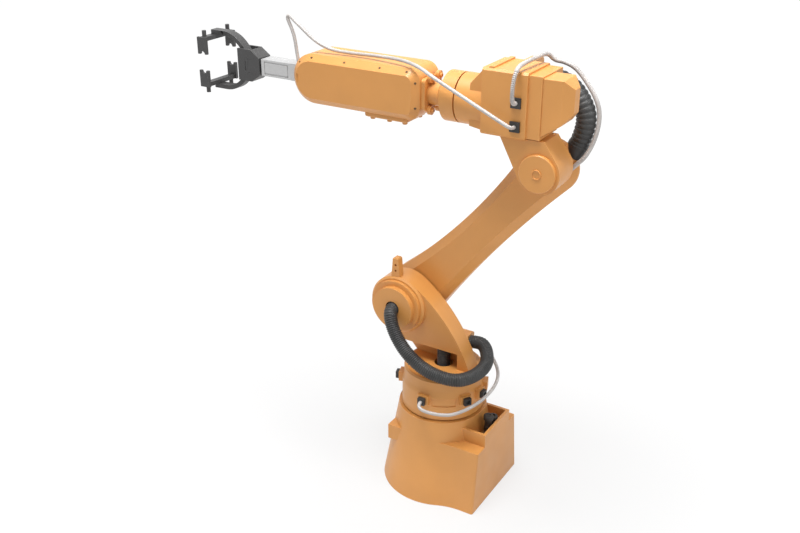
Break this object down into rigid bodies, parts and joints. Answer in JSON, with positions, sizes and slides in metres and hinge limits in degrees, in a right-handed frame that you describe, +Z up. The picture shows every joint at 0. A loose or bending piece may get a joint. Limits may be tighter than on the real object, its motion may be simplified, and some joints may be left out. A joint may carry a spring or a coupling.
{
  "type": "industrial robot arm",
  "caption": "Floor-standing industrial robot arm in orange castings with dressed hoses and cables and a dark jaw gripper on a square aluminium actuator.",
  "frame": {"origin": "where the turntable axis meets the underside of the base", "axes": "+X forward along the arm's reach, +Y towards the side with the shoulder cover, +Z up"},
  "size_m": [1.3441, 0.404, 1.5353],
  "materials": {
    "orange_paint": "satin",
    "black_plastic": "matte",
    "hose_rubber": "matte",
    "white_cable": "satin",
    "steel": "brushed",
    "aluminium": "satin",
    "gripper_metal": "satin"
  },
  "bodies": {
    "base": {"base_casting": "orange_paint", "turntable_bearing": "steel", "power_connector": "black_plastic", "signal_connector": "black_plastic"},
    "turret": {"turret_drum": "orange_paint", "front_socket": "black_plastic", "cable_socket": "black_plastic", "side_socket": "black_plastic", "rear_socket": "black_plastic", "shoulder_bracket": "orange_paint", "shoulder_cover": "orange_paint", "stop_lug": "orange_paint", "turret_gland": "orange_paint", "riser_hose": "hose_rubber", "turret_hose": "hose_rubber", "turret_cable": "white_cable"},
    "upper_arm": {"upper_arm": "orange_paint", "shoulder_far_cover": "orange_paint", "elbow_far_cover": "orange_paint"},
    "elbow": {"elbow_housing": "orange_paint", "elbow_cover": "orange_paint", "elbow_plug": "orange_paint", "motor_cover": "orange_paint", "upper_socket": "black_plastic", "lower_socket": "black_plastic", "hose_block": "orange_paint", "elbow_hose": "hose_rubber", "elbow_cable": "white_cable"},
    "forearm": {"forearm_neck": "orange_paint", "forearm_flange": "orange_paint", "forearm_housing": "orange_paint", "underside_cover": "orange_paint", "wrist_pin": "steel", "forearm_cable": "white_cable"},
    "wrist": {"wrist_hub": "gripper_metal", "actuator_block": "aluminium"},
    "gripper": {"gripper_near_plate": "gripper_metal", "gripper_far_plate": "gripper_metal", "gripper_back_skin": "gripper_metal", "upper_jaw_pin": "gripper_metal", "lower_jaw_pin": "gripper_metal"},
    "upper_jaw": {"upper_jaw_arm": "gripper_metal", "upper_cross_bar": "gripper_metal", "upper_near_fingertip": "gripper_metal", "upper_far_fingertip": "gripper_metal"},
    "lower_jaw": {"lower_jaw_arm": "gripper_metal", "lower_cross_bar": "gripper_metal", "lower_near_fingertip": "gripper_metal", "lower_far_fingertip": "gripper_metal"}
  },
  "joints": [
    {"name": "turret_turn", "type": "hinge", "parent": "base", "child": "turret", "pos_m": [0, 0, 0.292], "axis": [0, 0, 1], "range_deg": [-170, 170]},
    {"name": "shoulder_swing", "type": "hinge", "parent": "turret", "child": "upper_arm", "pos_m": [0.155, 0, 0.628], "axis": [0, 1, 0], "range_deg": [-15, 110]},
    {"name": "elbow_swing", "type": "hinge", "parent": "upper_arm", "child": "elbow", "pos_m": [-0.32, 0, 1.178], "axis": [0, -1, 0], "range_deg": [-35, 80], "deforming": ["elbow_hose", "elbow_cable"]},
    {"name": "forearm_roll", "type": "hinge", "parent": "elbow", "child": "forearm", "pos_m": [-0.054, 0, 1.345], "axis": [1, 0, 0], "range_deg": [-90, 90], "deforming": ["forearm_cable"]},
    {"name": "wrist_bend", "type": "hinge", "parent": "forearm", "child": "wrist", "pos_m": [0.447, 0, 1.345], "axis": [0, 1, 0], "range_deg": [-40, 100]},
    {"name": "gripper_roll", "type": "hinge", "parent": "wrist", "child": "gripper", "pos_m": [0.68, 0, 1.345], "axis": [1, 0, 0], "range_deg": [-180, 180]},
    {"name": "upper_jaw_swing", "type": "hinge", "parent": "gripper", "child": "upper_jaw", "pos_m": [0.738, 0, 1.365], "axis": [0, -1, 0], "range_deg": [-8, 15]},
    {"name": "lower_jaw_swing", "type": "hinge", "parent": "gripper", "child": "lower_jaw", "pos_m": [0.738, 0, 1.325], "axis": [0, 1, 0], "range_deg": [-8, 15]}
  ],
  "couplings": [
    {"joint": "lower_jaw_swing", "follows": "upper_jaw_swing", "ratio": 1}
  ]
}
